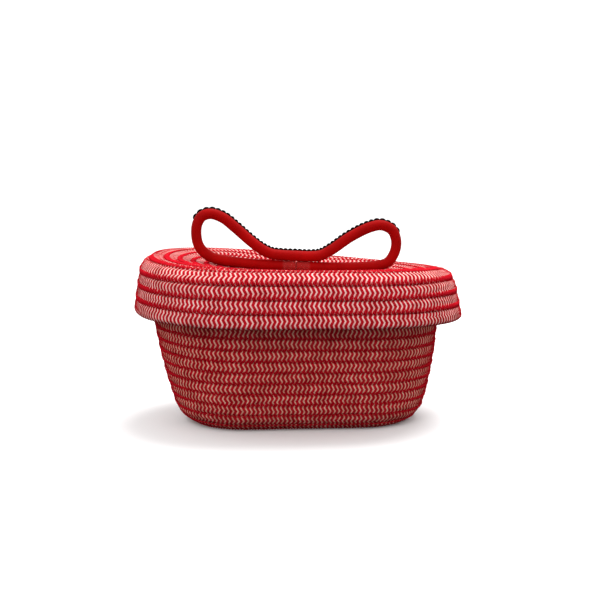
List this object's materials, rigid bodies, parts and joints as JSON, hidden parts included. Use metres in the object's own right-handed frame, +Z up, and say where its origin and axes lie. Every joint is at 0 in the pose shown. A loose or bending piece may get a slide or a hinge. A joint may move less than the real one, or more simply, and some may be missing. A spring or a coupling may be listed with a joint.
{
  "type": "lidded rope basket",
  "caption": "Oval basket coiled from braided cotton rope, with a flared cap lid coiled the same way and a cord bow on the lid as its handle.",
  "frame": {"origin": "on the surface that the basket stands on, under the middle of the whole part's box with the lid closed", "axes": "+X along the oval's long side towards the lower end of the lid, +Y from the front to the back where the rope ends, +Z up"},
  "size_m": [0.2876, 0.2042, 0.188],
  "materials": {
    "rope": "matt red and white braided cotton",
    "seam_thread": "matt cotton thread",
    "bow_cord": "smooth satin red cord",
    "joint_sleeve": "thin cloudy clear sleeve",
    "bead_trim": "black, soft gloss",
    "bow_thread": "matt red thread"
  },
  "bodies": {
    "basket": {"basket_rope": "rope", "basket_seam_thread": "seam_thread"},
    "lid": {"lid_rope": "rope", "lid_seam_thread": "seam_thread", "bow_cord": "bow_cord", "bow_joint_sleeve": "joint_sleeve", "bow_bead_trim": "bead_trim", "bow_foot_tack_1": "bow_thread", "bow_foot_tack_2": "bow_thread", "bow_foot_tack_3": "bow_thread", "bow_foot_tack_4": "bow_thread", "bow_waist_stitch_1": "bow_thread", "bow_waist_stitch_2": "bow_thread"}
  },
  "joints": [
    {"name": "lid_lift", "type": "slide", "parent": "basket", "child": "lid", "axis": [0, 0, 1], "range_m": [0, 0.12]}
  ]
}
